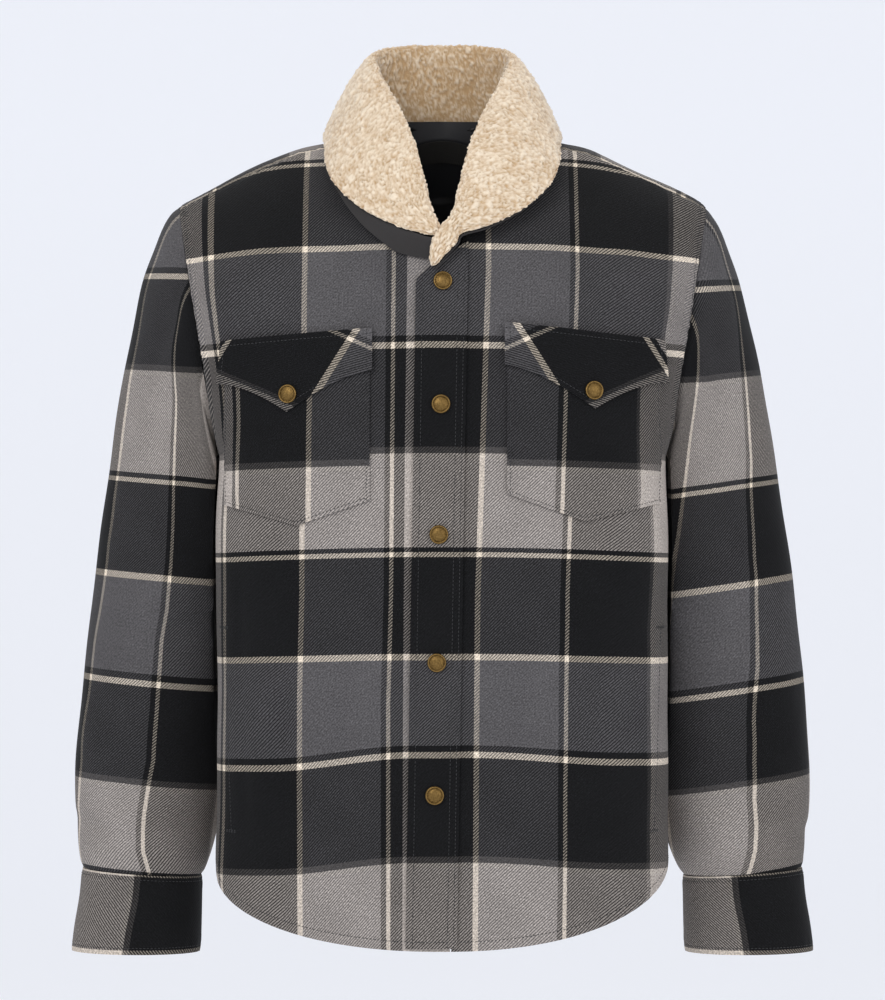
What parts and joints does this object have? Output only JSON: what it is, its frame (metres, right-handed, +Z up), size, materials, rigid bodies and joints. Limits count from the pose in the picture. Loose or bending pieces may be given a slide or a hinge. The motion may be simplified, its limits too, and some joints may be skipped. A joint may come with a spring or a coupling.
{
  "type": "plaid flannel shirt jacket with a fleece shawl collar, worn on no one",
  "caption": "Hollow, worn-shape plaid shirt jacket with a fleece shawl collar, snap placket, pointed chest flaps, cuffed sleeves and a shirt-tail hem.",
  "frame": {"origin": "middle of the neck's base, level with the tops of the side neck points, where a wearer's neck and shoulders hold the garment", "axes": "+Z up, -Y to the front (the snaps), +X to the wearer's left"},
  "size_m": [0.675, 0.2645, 0.8309],
  "materials": {
    "plaid_flannel": "brushed wool-blend twill flannel, plaid",
    "sherpa_fleece": "curly sherpa fleece, cream",
    "collar_satin": "smooth dark twill",
    "quilted_lining": "diamond-quilted satin, black",
    "label_cloth": "woven label, plain",
    "antique_brass": "antiqued, worn bright at the rim"
  },
  "bodies": {
    "root": {"front_right": "plaid_flannel", "front_left": "plaid_flannel", "back": "plaid_flannel", "yoke": "plaid_flannel", "sleeve_right": "plaid_flannel", "sleeve_left": "plaid_flannel", "cuff_right": "plaid_flannel", "cuff_left": "plaid_flannel", "placket": "plaid_flannel", "pocket_right": "plaid_flannel", "pocket_left": "plaid_flannel", "flap_right": "plaid_flannel", "flap_left": "plaid_flannel", "collar_fleece": "sherpa_fleece", "undercollar": "collar_satin", "lining_back": "quilted_lining", "neck_label": "label_cloth", "snap_front_1": "antique_brass", "snap_front_2": "antique_brass", "snap_front_3": "antique_brass", "snap_front_4": "antique_brass", "snap_front_5": "antique_brass", "snap_pocket_right": "antique_brass", "snap_pocket_left": "antique_brass"}
  },
  "joints": []
}
